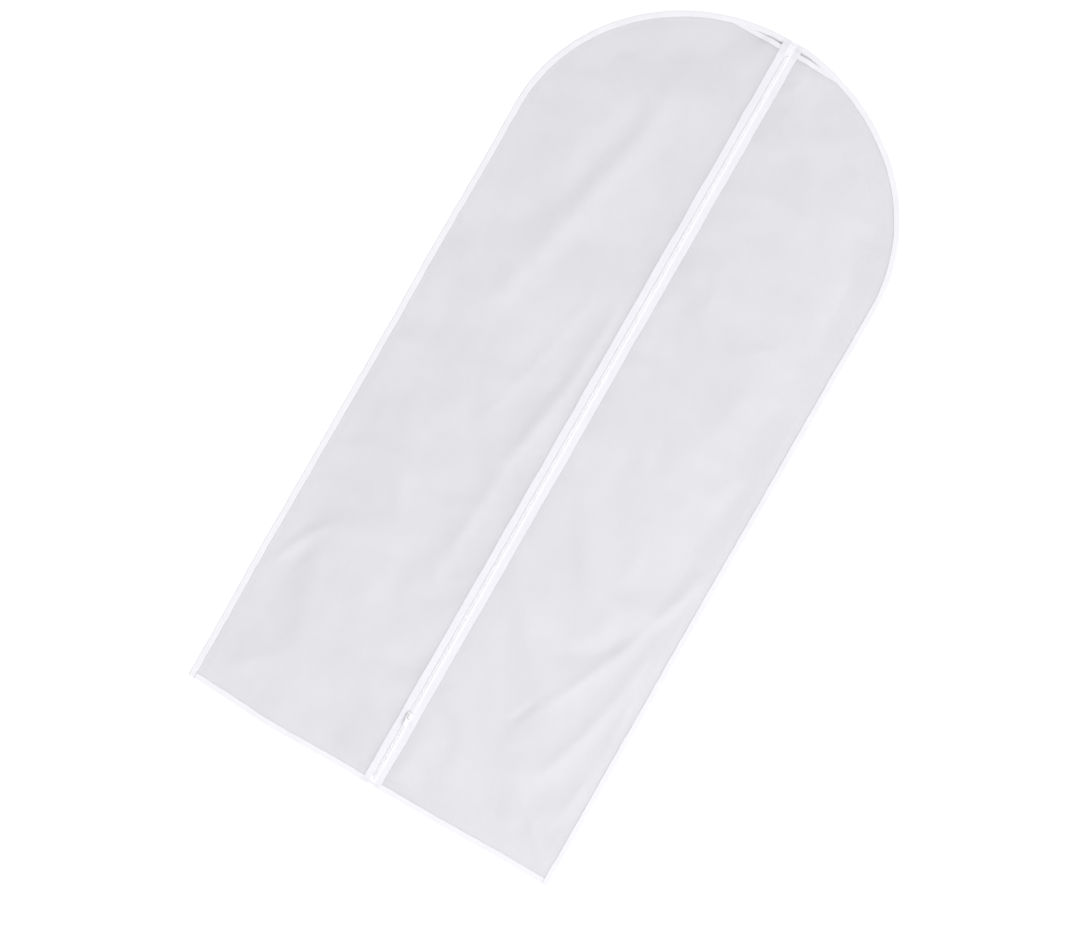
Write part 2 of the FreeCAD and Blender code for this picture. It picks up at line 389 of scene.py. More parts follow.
nylonLook = dict(deep=(0.93, 0.925, 0.955), pale=(0.97, 0.965, 0.985), drawn=2600)


def nylon():
    # the coil carries the painted glow, which lifts the shade in its crevices
    finish = Finish("nylon coil", IOR=1.53, Coat_Weight=0.15, Coat_Roughness=0.3, **paintedGlow)
    draw = finish.noise(nylonLook["drawn"], 2, 0.6)
    cloud = finish.noise(60, 2)
    finish.surface(
        Base_Color=finish.blend(cloud, nylonLook["deep"], nylonLook["pale"]),
        Roughness=0.3 + 0.2 * draw,
    )
    finish.bump(draw, 0.03 * mm, 0.5)
    return finish.material


threadLook = dict(deep=(0.72, 0.715, 0.75), pale=(0.86, 0.855, 0.89), twist=900, fuzz=3000)


def sewingThread():
    # the thread carries the same painted glow
    finish = Finish("sewing thread", Sheen_Weight=0.3, Sheen_Roughness=0.4, **paintedGlow)
    plies = {"Vector": finish.place, "Scale": threadLook["twist"], "Distortion": 1.5, "Detail": 1}
    twist = finish.add("TexWave", {"bands_direction": "DIAGONAL"}, plies)
    fuzz = finish.noise(threadLook["fuzz"], 2, 0.6)
    finish.surface(
        Base_Color=finish.blend(twist * 0.5 + fuzz * 0.5, threadLook["deep"], threadLook["pale"]),
        Roughness=0.5 + 0.2 * fuzz,
    )
    finish.bump(twist + fuzz * 0.4, 0.06 * mm, 0.8)
    return finish.material


enamelLook = dict(paint=(0.80, 0.795, 0.82), zinc=(0.62, 0.62, 0.64), peel=900, worn=1300)


def enamel():
    # baked white paint over die-cast zinc
    finish = Finish("white enamel", Coat_Weight=0.5, Coat_Roughness=0.12, IOR=1.5)
    peel = finish.noise(enamelLook["peel"], 2, 0.4)
    worn = finish.noise(enamelLook["worn"], 4, 0.7)
    rubbed = worn.step(0.66, 0.72)
    finish.surface(
        Base_Color=finish.blend(rubbed, enamelLook["paint"], enamelLook["zinc"]),
        Metallic=rubbed * 0.7,
        Roughness=0.24 + 0.16 * worn,
    )
    finish.bump(peel * 0.4 - rubbed * 0.3, 0.04 * mm, 0.5)
    return finish.material


def studioWhite():
    finish = Finish("studio white", Roughness=0.9, Specular_IOR_Level=0.1)
    cloud = finish.noise(3, 2)
    finish.surface(Base_Color=finish.blend(cloud, (0.95, 0.95, 0.95), (0.97, 0.97, 0.97)))
    return finish.material


# ---- camera, light and floor ----

view = dict(
    turn=29.79,              # the bag's top leans this far over to the right
    place=(-16.1 * mm, -91.9 * mm),
    across=1.515,            # width of what is seen
    lens=85.0,
)


def makeCamera():
    data = bpy.data.cameras.new("camera")
    data.lens = view["lens"]
    data.sensor_width = 36
    camera = bpy.data.objects.new("camera", data)
    bpy.context.scene.collection.objects.link(camera)
    camera.location = (*view["place"], view["across"] * view["lens"] / data.sensor_width)
    camera.rotation_euler = (0, 0, math.radians(view["turn"]))
    bpy.context.scene.camera = camera


lights = dict(
    world=0.90,
    key=0.95,
    keyFrom=(1.1, -0.35, 1.7),
    keySpread=math.radians(40),
    fill=8.0,
    fillFrom=(1.1, -0.75, 1.8),
    fillSize=1.6,
)
ground = dict(size=9, drop=0.25 * mm)


def makeLight(name, kind, power, place):
    data = bpy.data.lights.new(name, kind)
    data.energy = power
    if kind == "SUN":
        data.angle = lights["keySpread"]
    else:
        data.size = lights["fillSize"]
    lamp = bpy.data.objects.new(name, data)
    bpy.context.scene.collection.objects.link(lamp)
    lamp.location = place
    lamp.rotation_euler = Vector(place).to_track_quat("Z", "Y").to_euler()


def makeStudio():
    world = bpy.data.worlds.new("studio")
    world.use_nodes = True
    world.node_tree.nodes["Background"].inputs["Color"].default_value = (1, 1, 1, 1)
    world.node_tree.nodes["Background"].inputs["Strength"].default_value = lights["world"]
    bpy.context.scene.world = world
    bpy.context.scene.view_settings.view_transform = "Standard"
    makeLight("key", "SUN", lights["key"], lights["keyFrom"])
    makeLight("fill", "AREA", lights["fill"], lights["fillFrom"])
    pickNothing()
    bpy.ops.mesh.primitive_plane_add(size=ground["size"], location=(0, 0, -ground["drop"]))
    floor = settle(bpy.context.object)
    floor.name = "floor"
    floor.data.materials.append(studioWhite())


makeCamera()
makeStudio()
report("studio set up")

film = frostedFilm()
tapeCloth = nonWoven()
zipCloth = wovenTape()
thread = sewingThread()
nylonWhite = nylon()
paint = enamel()


# ---- film ----

sheets = dict(
    cell=5 * mm,
    spare=0.75,              # cells reaching over the edge by more than this share are dropped
    tuck=2.5 * mm,           # the film's edge lies this far inside the bag's edge
    zipGap=6 * mm,           # half the gap between the two front films, under the zip
    swell=1.0022,            # spare film that the seams gather in
    frames=14,
    foldDepth=0.75,          # scales every fold's height
    backTop=1.1 * mm,        # what the front film stays above near the edges
    backRun=110 * mm,        # how far in the back film takes to come loose
    backRipple=1.6 * mm,
    backSink=0.25 * mm,
    sewnEdge=12 * mm,        # both films lie flat this near a seam
    edgeRun=25 * mm,         # and the front is free this much further in
    zipRun=18 * mm,
    neckRun=30 * mm,
    letGo=6,                 # how quickly the seams let go of the film as it relaxes
    billow=0.9 * mm,         # height of its broad swells and of its fine ones
    crinkle=0.35 * mm,
    inFold=1 * mm,           # laid flat, the back film ends this far inside the bag's edge
    drift=6 * mm,            # the most that a point may move as the film relaxes
)

# the film's cloth settings; it is simulated ten times as large, where Cloth is steadier
limp = dict(quality=6, mass=0.4, tension=40, shear=20, bending=6, damping=4, enlarge=10.0)

# each fold runs from one point to another, in mm: its height, width, and how far it bows to its left
folds = [
    dict(start=(-99, 514), end=(-190, 44), height=5.0, width=18, bow=10),
    dict(start=(-118, 420), end=(-236, 120), height=-2.5, width=22, bow=6),
    dict(start=(-24, 216), end=(-70, -161), height=3.5, width=11, bow=12),
    dict(start=(-30, 60), end=(-62, -330), height=2.5, width=10, bow=-8),
    dict(start=(-60, 180), end=(-118, -90), height=2.0, width=9, bow=6),
    dict(start=(271, -100), end=(144, -415), height=5.0, width=10, bow=14),
    dict(start=(266, -190), end=(120, -330), height=-3.5, width=15, bow=10),
    dict(start=(269, -295), end=(257, -528), height=4.0, width=9, bow=8),
    dict(start=(258, -240), end=(196, -500), height=3.0, width=9, bow=10),
    dict(start=(150, -380), end=(128, -430), height=-3.0, width=6, bow=2),
    dict(start=(-270, -400), end=(-215, -300), height=3.5, width=8, bow=5),
    dict(start=(-222, -341), end=(-265, -440), height=-3.0, width=8, bow=-4),
    dict(start=(228, 426), end=(268, 145), height=-2.5, width=16, bow=10),
    dict(start=(34, -560), end=(187, -556), height=-2.0, width=10, bow=4),
    dict(start=(-190, 470), end=(-120, 420), height=2.0, width=8, bow=4),
    dict(start=(-225, 420), end=(-150, 385), height=2.0, width=8, bow=4),
    dict(start=(60, 430), end=(110, 120), height=1.8, width=20, bow=-12),
    dict(start=(40, -60), end=(150, -260), height=1.6, width=18, bow=10),
]


def foldHeight(x, y, fold):
    ax, ay = (v * mm for v in fold["start"])
    bx, by = (v * mm for v in fold["end"])
    long = math.hypot(bx - ax, by - ay)
    ux, uy = (bx - ax) / long, (by - ay) / long
    t = ((x - ax) * ux + (y - ay) * uy) / long
    off = (x - ax) * uy - (y - ay) * ux
    off = off + fold["bow"] * mm * (1 - (2 * t - 1) ** 2)
    ends = ease((t + 0.05) / 0.3) * ease((1.05 - t) / 0.35)
    return fold["height"] * sheets["foldDepth"] * mm * ends * np.exp(-((off / (fold["width"] * mm)) ** 2))


def creases(x, y):
    height = sheets["billow"] * wobble(x, y * 0.6, 14, 2.2)
    height += sheets["crinkle"] * wobble(x + y * 0.3, y * 0.5, 42, 5.1)
    for fold in folds:
        height = height + foldHeight(x, y, fold)
    return height


def looseness(x, y):
    # 0 where the film is sewn down, 1 where it is free
    edge = sheets["sewnEdge"]
    loose = ease((insetOf(x, y) - edge) / sheets["edgeRun"])
    loose = loose * ease((np.abs(x) - zipHalf) / sheets["zipRun"])
    return loose * ease((neckTop - edge - y) / sheets["neckRun"])


def clearOfBack(z):
    # eases low points up so that the front film never reaches the back one
    over = z - sheets["backTop"]
    soft = sheets["backTop"] * 0.8
    return sheets["backTop"] + np.where(over > soft, over, soft * np.exp(np.minimum(over / soft, 1) - 1))


def trimToOutline(piece, inset):
    # drops the cells outside the bag and draws the cells on its edge onto the edge
    points = pointsOf(piece)
    far = insetOf(points[:, 0], points[:, 1]) < inset - sheets["spare"] * sheets["cell"]
    pick(piece)
    bpy.ops.object.mode_set(mode="EDIT")
    bpy.ops.mesh.select_mode(type="VERT")
    bpy.ops.mesh.select_all(action="DESELECT")
    bpy.ops.object.mode_set(mode="OBJECT")
    for vertex, drop in zip(piece.data.vertices, far):
        vertex.select = bool(drop)
    bpy.ops.object.mode_set(mode="EDIT")
    bpy.ops.mesh.delete(type="VERT")
    bpy.ops.object.mode_set(mode="OBJECT")
    points = pointsOf(piece)
    centre = np.array([0, archCentre, 0])
    for _ in range(3):       # over the arch the inset is an estimate, and soon settles
        short = inset - insetOf(points[:, 0], points[:, 1])
        arch = (short > 0) & (points[:, 1] > archCentre)
        reach = points - centre
        size = np.linalg.norm(reach, axis=1, keepdims=True)
        points = np.where(arch[:, None], centre + reach * (1 - short[:, None] / size), points)
    putPoints(piece, points)
    return piece


def relax(piece, pinned):
    # lets the film find its own creases: it is a little too large for its seams
    pick(piece)
    big = limp["enlarge"]
    piece.scale = (big, big, big)
    settle(piece)
    group = piece.vertex_groups.new(name="sewn")
    for index, weight in enumerate(pinned):
        if weight > 0:
            group.add([index], float(weight), "REPLACE")
    cloth = piece.modifiers.new("Cloth", "CLOTH")
    cloth.settings.quality = limp["quality"]
    cloth.settings.mass = limp["mass"]
    cloth.settings.tension_stiffness = cloth.settings.compression_stiffness = limp["tension"]
    cloth.settings.shear_stiffness = limp["shear"]
    cloth.settings.bending_stiffness = limp["bending"]
    cloth.settings.air_damping = limp["damping"]
    cloth.settings.vertex_group_mass = "sewn"
    cloth.settings.shrink_min = 1 - sheets["swell"]
    cloth.settings.effector_weights.gravity = 0
    cloth.collision_settings.use_collision = False
    scene = bpy.context.scene
    for step in range(1, sheets["frames"] + 1):
        scene.frame_set(step)
    bpy.ops.object.modifier_apply(modifier=cloth.name)
    scene.frame_set(1)
    piece.vertex_groups.clear()
    piece.scale = (1 / big, 1 / big, 1 / big)
    return settle(piece)


def makeFrontFilm(name, side):
    width = bag["halfWidth"] - sheets["zipGap"]
    piece = grid("film.front." + name, width, 2 * bag["halfLength"], sheets["cell"])
    points = pointsOf(piece)
    points[:, 0] = side * (points[:, 0] + sheets["zipGap"])
    points[:, 1] -= bag["halfLength"]
    low = sheets["tuck"] - bag["halfLength"]
    high = neckTop - bag["bindingTape"]
    points[:, 1] = low + (points[:, 1] + bag["halfLength"]) * (high - low) / (2 * bag["halfLength"])
    far = bag["halfWidth"] - sheets["tuck"]
    points[:, 0] = side * (sheets["zipGap"] + (np.abs(points[:, 0]) - sheets["zipGap"])
                           * (far - sheets["zipGap"]) / width)
    putPoints(piece, points)
    trimToOutline(piece, sheets["tuck"])
    points = pointsOf(piece)
    x, y = points[:, 0], points[:, 1]
    loose = looseness(x, y)
    points[:, 2] = frontHeight(x, y) + loose * creases(x, y)
    putPoints(piece, points)
    pinned = 1 - np.minimum(loose * sheets["letGo"], 1)
    relax(piece, pinned)
    putPoints(piece, points + np.clip(pointsOf(piece) - points, -sheets["drift"], sheets["drift"]))
    if side < 0:
        flipFaces(piece)
    subdivide = piece.modifiers.new("finer", "SUBSURF")
    subdivide.levels = subdivide.render_levels = 1
    applyAll(piece)
    points = pointsOf(piece)
    held = 1 - np.minimum(looseness(points[:, 0], points[:, 1]) * sheets["letGo"], 1)
    points[:, 2] += (1 - held) * (clearOfBack(points[:, 2]) - points[:, 2])
    points[:, 2] += held * (frontHeight(points[:, 0], points[:, 1]) - points[:, 2])
    points[:, 2] -= bag["film"] / 2
    putPoints(piece, layDown(points))
    smooth(piece, 80)
    finishPiece(piece, film, "film", "bag", "front_panel_" + name)
    arch = math.pi * bag["halfWidth"] * bag["archRise"] / 4
    square = bag["halfWidth"] * (archCentre + bag["halfLength"])
    area = square + arch - sheets["zipGap"] * 2 * bag["halfLength"]
    flatSize = (far - sheets["zipGap"], high - low)
    min(area, 0.999 * flatSize[0] * flatSize[1])
    return piece


def flipFaces(piece):
    pick(piece)
    bpy.ops.object.mode_set(mode="EDIT")
    bpy.ops.mesh.select_all(action="SELECT")
    bpy.ops.mesh.flip_normals()
    bpy.ops.object.mode_set(mode="OBJECT")


def makeBackFilm():
    halfWidth, halfLength = bag["halfWidth"] - sheets["tuck"], bag["halfLength"] - sheets["tuck"]
    piece = grid("film.back", 2 * halfWidth, 2 * halfLength, sheets["cell"] * 1.2)
    points = pointsOf(piece)
    points[:, 0] -= halfWidth
    points[:, 1] -= halfLength
    putPoints(piece, points)
    trimToOutline(piece, sheets["tuck"])
    points = pointsOf(piece)
    x, y = points[:, 0], points[:, 1]
    loose = ease((insetOf(x, y) - sheets["sewnEdge"]) / sheets["backRun"])
    ripple = np.abs(wobble(x + 0.3 * y, y * 0.4, 11, 12.5))
    ripple += 0.4 * np.abs(wobble(x - 0.2 * y, y * 0.6, 30, 3.3))
    points[:, 2] = bag["bindingTape"] + bag["film"] / 2
    points[:, 2] += loose * (sheets["backRipple"] * ripple - sheets["backSink"])
    putPoints(piece, layDown(points))
    subdivide = piece.modifiers.new("finer", "SUBSURF")
    subdivide.levels = subdivide.render_levels = 1
    applyAll(piece)
    smooth(piece, 80)
    finishPiece(piece, film, "film", "bag", "back_panel")
    return piece


makeBackFilm()
for name, side in (("left", -1), ("right", 1)):
    makeFrontFilm(name, side)
report("films laid")


# ---- routes that the tapes and seams follow ----

def makeRoute(x, y):
    steps = np.hypot(np.diff(x), np.diff(y))
    along = np.concatenate([[0], np.cumsum(steps)])
    dx, dy = np.gradient(x, along), np.gradient(y, along)
    size = np.hypot(dx, dy)
    return dict(along=along, x=x, y=y, inX=dy / size, inY=-dx / size, length=along[-1])


def outlineRoute():
    # from the bottom left corner, over the top, to the bottom right corner
    rise = np.linspace(-bag["halfLength"], archCentre, 200)[:-1]
    turn = np.linspace(math.pi, 0, 400)
    side = np.full(len(rise), bag["halfWidth"])
    x = np.concatenate([-side, bag["halfWidth"] * np.cos(turn), side])
    y = np.concatenate([rise, archCentre + bag["archRise"] * np.sin(turn), rise[::-1]])
    return makeRoute(x, y)


def straightRoute(x0, y0, x1, y1):
    t = np.linspace(0, 1, 20)
    return makeRoute(x0 + (x1 - x0) * t, y0 + (y1 - y0) * t)


def follow(piece, route):
    # a straight piece along Y is bent along a route, and its X becomes the distance in from it
    points = pointsOf(piece)
    s = np.clip(points[:, 1], 0, route["length"])
    over = points[:, 1] - s
    x, y, inX, inY = (np.interp(s, route["along"], route[key]) for key in ("x", "y", "inX", "inY"))
    out = points.copy()
    out[:, 0] = x + inX * points[:, 0] - inY * over
    out[:, 1] = y + inY * points[:, 0] + inX * over
    putPoints(piece, out)
    return piece


outline = outlineRoute()
bottomEdge = straightRoute(bag["halfWidth"], -bag["halfLength"], -bag["halfWidth"], -bag["halfLength"])


# ---- bindings ----

binding = dict(
    cell=4 * mm,
    across=14,               # cells across the unfolded tape
    foldShare=0.3,           # share of them that goes round the fold
    uneven=0.35 * mm,        # how far the leg's edge strays
    pucker=0.12 * mm,
    thick=0.38 * mm,
    neckWidth=7.5 * mm,
    neckCell=1.5 * mm,
    buttGap=0.4 * mm,
    neckStart=5.5 * mm,      # how far from the zip's middle a neck binding starts
    lowerLeg=0.15,           # share of its lower leg left beyond the opening's ends
    lowerRun=6 * mm,
    caught=0.6 * mm,         # its end is held down from this near the edge binding
    caughtRun=1.0 * mm,
)


def foldTape(name, length, leg, gap, cell):
    # a tape folded in half lengthwise: X is the distance in from the fold, Z is 0 between its legs
    piece = grid(name, 2, length, cell, binding["across"])
    points = pointsOf(piece)
    t = points[:, 0] - 1
    share = binding["foldShare"]
    radius = (gap + bag["bindingTape"]) / 2
    turn = np.clip(t / share, -1, 1) * math.pi / 2
    rest = np.maximum(np.abs(t) - share, 0) / (1 - share)
    stray = wobble(points[:, 1], np.sign(t), 60, 3.7) * binding["uneven"]
    legRun = leg - radius - bag["bindingTape"] / 2
    points[:, 0] = bag["bindingTape"] / 2 + radius * (1 - np.cos(turn)) + rest * (legRun + stray)
    points[:, 2] = radius * np.sin(turn)
    pucker = binding["pucker"] * (1 + wobble(points[:, 1], points[:, 0] * 0.5, 130, 9.1))
    points[:, 2] += np.where(t > 0, pucker * rest, 0)
    putPoints(piece, points)
    return piece


def thicken(piece, thick):
    wall = piece.modifiers.new("wall", "SOLIDIFY")
    wall.thickness = thick
    wall.offset = 0
    soft = piece.modifiers.new("soft", "BEVEL")
    soft.width = thick * 0.25
    soft.segments = 2
    soft.limit_method = "ANGLE"
    soft.angle_limit = math.radians(60)
    applyAll(piece)
    return smooth(piece, 50)


def faceOut(piece):
    pick(piece)
    bpy.ops.object.mode_set(mode="EDIT")
    bpy.ops.mesh.select_all(action="SELECT")
    bpy.ops.mesh.normals_make_consistent(inside=False)
    bpy.ops.object.mode_set(mode="OBJECT")
    return piece


def makeEdgeBinding():
    piece = foldTape("binding.edge", outline["length"], bag["bindingWidth"],
                     borderTop - bag["bindingTape"], binding["cell"])
    points = pointsOf(piece)
    points[:, 2] += bag["seamTop"] / 2
    putPoints(piece, points)
    follow(piece, outline)
    putPoints(piece, layDown(pointsOf(piece)))
    thicken(piece, binding["thick"])
    faceOut(piece)
    return finishPiece(piece, tapeCloth, "binding", "bag", "edge_binding")


def makeBottomBinding():
    trim = bag["bindingWidth"] + binding["buttGap"]
    piece = foldTape("binding.bottom", bottomEdge["length"] - 2 * trim, bag["bindingWidth"],
                     borderTop - bag["bindingTape"], binding["cell"])
    points = pointsOf(piece)
    points[:, 1] += trim
    points[:, 2] += bag["seamTop"] / 2
    putPoints(piece, points)
    follow(piece, bottomEdge)
    putPoints(piece, layDown(pointsOf(piece)))
    thicken(piece, binding["thick"])
    faceOut(piece)
    return finishPiece(piece, tapeCloth, "binding", "bag", "bottom_binding")


def makeNeckBinding(name, side):
    # folded over the free edge of the front; each end is caught under the edge binding
    start, end = binding["neckStart"], max(abs(p.x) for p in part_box("neck_binding_" + name))
    piece = foldTape("binding.neck." + name, end - start, binding["neckWidth"], bag["film"],
                     binding["neckCell"])
    points = pointsOf(piece)
    lower = points[:, 2] < 0
    x = side * (start + points[:, 1])
    reach = ease((bag["mouthFoot"] - np.abs(x)) / binding["lowerRun"])
    leg = binding["lowerLeg"] + (1 - binding["lowerLeg"]) * reach
    inward = np.where(lower, points[:, 0] * leg, points[:, 0])
    y = neckTop - inward
    z = frontHeight(x, np.minimum(y, neckTop - bag["bindingTape"])) - bag["film"] / 2 + points[:, 2]
    caught = ease((bag["bindingWidth"] + binding["caught"] - insetOf(x, y)) / binding["caughtRun"])
    z += caught * (borderTop - binding["thick"] * 0.6 - z)
    putPoints(piece, layDown(np.column_stack([x, y, z])))
    thicken(piece, binding["thick"])
    faceOut(piece)
    return finishPiece(piece, tapeCloth, "binding", "bag", "neck_binding_" + name)


makeEdgeBinding()
makeBottomBinding()
for name, side in (("left", -1), ("right", 1)):
    makeNeckBinding(name, side)
report("bindings folded")


# ---- zip ----

zipper = dict(
    inner=0.33 * mm,         # half the gap between the two tapes, where the slider runs
    half=zipHalf,
    tape=0.5 * mm,
    cell=2.5 * mm,
    across=10,               # cells across one tape
    flare=1.3 * mm,          # the tapes spread this much at the top
    flareStart=25 * mm,      # starting this far below the neck edge
    flareRun=30 * mm,
    stray=0.9 * mm,          # how far a tape's outer edge strays
    strayScale=22,
    strayStart=8 * mm,       # the strip beside the chain doesn't
    strayRun=6 * mm,
    shutRun=4 * mm,          # the tapes close up over this much beyond the coil's ends
    shutGap=0.02 * mm,
    dropRun=5.6 * mm,        # from the neck edge down to the bound top edge
    boundRun=1.2 * mm,       # the tape climbs onto a bound edge over this much
    neckRun=2 * mm,          # and onto a neck binding over this much
    lift=0.03 * mm,          # air under the tape
    rise=2.0 * mm,           # height of the coil over its tape
    pitch=0.95 * mm,         # from one turn of the coil to the next
    wire=0.34 * mm,          # its radius
    head=0.72,               # the wire is pressed this much thinner at its heads
    lock=0.5 * mm,           # how far the heads reach past the chain's middle
    neck=0.86,               # and it is this much thinner just behind them
    corner=0.55 * mm,        # how much of a leg its bends take
)


def tapeUnder(x, y):
    # underside of the zip's tape
    sits = frontHeight(x, y)
    bound = ease((bag["bindingWidth"] - insetOf(x, y)) / zipper["boundRun"] + 1)
    sits = sits + bound * np.maximum(bag["seamTop"] - sits, 0)
    onNeck = ease((y - neckTop + binding["neckWidth"]) / zipper["neckRun"] + 1)
    sits = sits + onNeck * bag["bindingTape"]
    drop = ease((y - neckTop) / zipper["dropRun"])
    return sits + drop * (bag["seamTop"] - sits) + zipper["lift"]


def makeZipTape(name, side):
    width = zipper["half"] - zipper["inner"]
    piece = grid("zip.tape." + name, width, zipHigh.y - zipLow.y, zipper["cell"], zipper["across"])
    points = pointsOf(piece)
    x = side * (zipper["inner"] + points[:, 0])
    y = zipLow.y + points[:, 1]
    stray = wobble(y, side + 0 * y, zipper["strayScale"], 1.2) * zipper["stray"]
    stray += zipper["flare"] * ease((y - neckTop + zipper["flareStart"]) / zipper["flareRun"])
    stray *= ease((np.abs(x) - zipper["strayStart"]) / zipper["strayRun"])
    shut = ease((y - coilHigh.y) / zipper["shutRun"]) + ease((coilLow.y - y) / zipper["shutRun"])
    stray -= shut * (zipper["inner"] - zipper["shutGap"]) * (1 - points[:, 0] / width)
    z = tapeUnder(x, y) + zipper["tape"] / 2
    putPoints(piece, layDown(np.column_stack([x + side * stray, y, z])))
    thicken(piece, zipper["tape"] * 0.96)
    faceOut(piece)
    return finishPiece(piece, zipCloth, "zip_tape", "bag", "zip_tape_" + name)


def repeat(piece, count, pitch, weld=False):
    # copies a piece along Y, each copy with its own mesh
    row = piece.modifiers.new("row", "ARRAY")
    row.count = count
    row.use_relative_offset = False
    row.use_constant_offset = True
    row.constant_offset_displace = (0, pitch, 0)
    row.use_merge_vertices = weld
    row.merge_threshold = 0.02 * mm
    return applyAll(piece)


def coilTurn(name, head, tail, low, high):
    # from its back the turn runs in along the tape, up at its head, and back over the top
    r, corner, pitch = zipper["wire"], zipper["corner"], zipper["pitch"]
    near, far = head + r * zipper["head"], tail - r
    corners = [(far, 0.5, 0.00), (far - corner, 0.0, 0.12), (near + corner, 0.0, 0.45),
               (near, 0.3, 0.49), (near, 0.7, 0.51), (near + corner, 1.0, 0.55),
               (far - corner, 1.0, 0.88), (far, 0.5, 1.00)]
    pickNothing()
    bpy.ops.curve.primitive_nurbs_path_add()
    wire = bpy.context.object
    wire.name = name
    curve = wire.data
    curve.splines.clear()
    spline = curve.splines.new("POLY")
    spline.points.add(len(corners) - 1)
    for point, (x, up, share) in zip(spline.points, corners):
        point.co = (x, share * pitch, low + r + up * (high - low - 2 * r), 1)
        point.radius = {near: zipper["head"], near + corner: zipper["neck"]}.get(x, 1)
    curve.dimensions = "3D"
    curve.bevel_depth = r
    curve.bevel_resolution = 1
    curve.use_fill_caps = False
    pick(wire)
    bpy.ops.object.convert(target="MESH")
    return settle(bpy.context.object)


def makeCoil(name, side):
    low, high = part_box("zip_coil_" + name)
    far = max(abs(low.x), abs(high.x))
    top = high.z
    base = top - zipper["rise"]
    piece = coilTurn("zip.coil." + name, -zipper["lock"], far, base, top)
    count = int((high.y - low.y) / zipper["pitch"])
    repeat(piece, count, zipper["pitch"], True)
    points = pointsOf(piece)
    points[:, 0] *= side
    points[:, 1] += low.y + (zipper["pitch"] / 2 if side > 0 else 0)
    points[:, 2] += tapeUnder(0 * points[:, 1], points[:, 1]) + zipper["tape"] - base
    putPoints(piece, points)
    faceOut(piece)
    smooth(piece, 70)
    return finishPiece(piece, nylonWhite, "coil", "bag", "zip_coil_" + name)


for name, side in (("left", -1), ("right", 1)):
    makeZipTape(name, side)
    makeCoil(name, side)
report("zip tapes and coils made")


# ---- stitches ----

stitch = dict(
    pitch=3.0 * mm,
    length=2.5 * mm,
    width=0.5 * mm,
    height=0.34 * mm,
    seamInset=5.75 * mm,
    zipSeam=11.55 * mm,
    neckInset=4.75 * mm,
    overBinding=0.1 * mm,    # height of a stitch's middle over what it is sewn on
    overTape=0.08 * mm,
    under=0.02 * mm,         # and on the underside, over the bag's lowest face
    endGap=1 * mm,
)
# the thread that ties the coil down: one stitch a turn
tie = dict(share=0.96, width=0.45 * mm, height=0.26 * mm, over=0.02 * mm)
tack = dict(pitch=0.42 * mm, height=0.5 * mm, zigzag=0.25 * mm, over=0.12 * mm)


def oneStitch(name, length, width, height):
    pickNothing()
    bpy.ops.mesh.primitive_uv_sphere_add(segments=8, ring_count=5, radius=0.5,
                                         rotation=(math.pi / 2, 0, 0))
    piece = bpy.context.object
    piece.name = name
    piece.scale = (width, height, length)
    return settle(piece)


def stitchRow(name, length, pitch, stitchLength, width, height):
    piece = oneStitch(name, stitchLength, width, height)
    count = max(1, int((length - stitchLength) / pitch) + 1)
    repeat(piece, count, pitch)
    points = pointsOf(piece)
    points[:, 1] += (length - (count - 1) * pitch) / 2
    putPoints(piece, points)
    return piece


def joinAll(pieces):
    pick(pieces[0])
    for other in pieces[1:]:
        other.select_set(True)
    bpy.ops.object.join()
    return pieces[0]


def seamBothSides(name, route, start, length, inset, top, under):
    rows = []
    for z in (top, under):
        row = stitchRow(name, length, stitch["pitch"], stitch["length"], stitch["width"], stitch["height"])
        points = pointsOf(row)
        points[:, 0] += inset
        points[:, 1] += start
        points[:, 2] += z
        putPoints(row, points)
        follow(row, route)
        putPoints(row, layDown(pointsOf(row)))
        rows.append(row)
    return joinAll(rows)


def makeEdgeStitches():
    # two runs: the zip's tape lies over the seam at the top
    top, under = bag["seamTop"] + stitch["overBinding"], stitch["under"]
    half = outline["length"] / 2
    start = stitch["endGap"] / 2
    run = half - zipper["half"] - stitch["endGap"] - start
    runs = [seamBothSides("stitches.edge", outline, start, run, stitch["seamInset"], top, under),
            seamBothSides("stitches.edge.b", outline, outline["length"] - run - start, run,
                          stitch["seamInset"], top, under)]
    piece = smooth(joinAll(runs), 80)
    piece.name = "stitches.edge"
    return finishPiece(piece, thread, "thread", "bag", "edge_seam_thread")


def makeBottomStitches():
    top, under = bag["seamTop"] + stitch["overBinding"], stitch["under"]
    trim = bag["bindingWidth"] + stitch["endGap"]
    run = bag["halfWidth"] - trim - zipper["half"] - stitch["endGap"]
    runs = [seamBothSides("stitches.bottom", bottomEdge, trim, run, stitch["seamInset"], top, under),
            seamBothSides("stitches.bottom.b", bottomEdge, bottomEdge["length"] - trim - run, run,
                          stitch["seamInset"], top, under)]
    piece = smooth(joinAll(runs), 80)
    piece.name = "stitches.bottom"
    return finishPiece(piece, thread, "thread", "bag", "bottom_seam_thread")


def makeZipStitches(name, side):
    start = bag["bindingWidth"] - bag["halfLength"] + stitch["endGap"]
    length = neckTop - start - stitch["endGap"]
    piece = stitchRow("stitches.zip." + name, length, stitch["pitch"], stitch["length"],
                      stitch["width"], stitch["height"])
    points = pointsOf(piece)
    points[:, 0] = side * stitch["zipSeam"] + points[:, 0]
    points[:, 1] += start
    seam = np.full(len(points), side * stitch["zipSeam"])
    points[:, 2] += tapeUnder(seam, points[:, 1]) + zipper["tape"] + stitch["overTape"]
    putPoints(piece, layDown(points))
    smooth(piece, 80)
    return finishPiece(piece, thread, "thread", "bag", "zip_seam_thread_" + name)


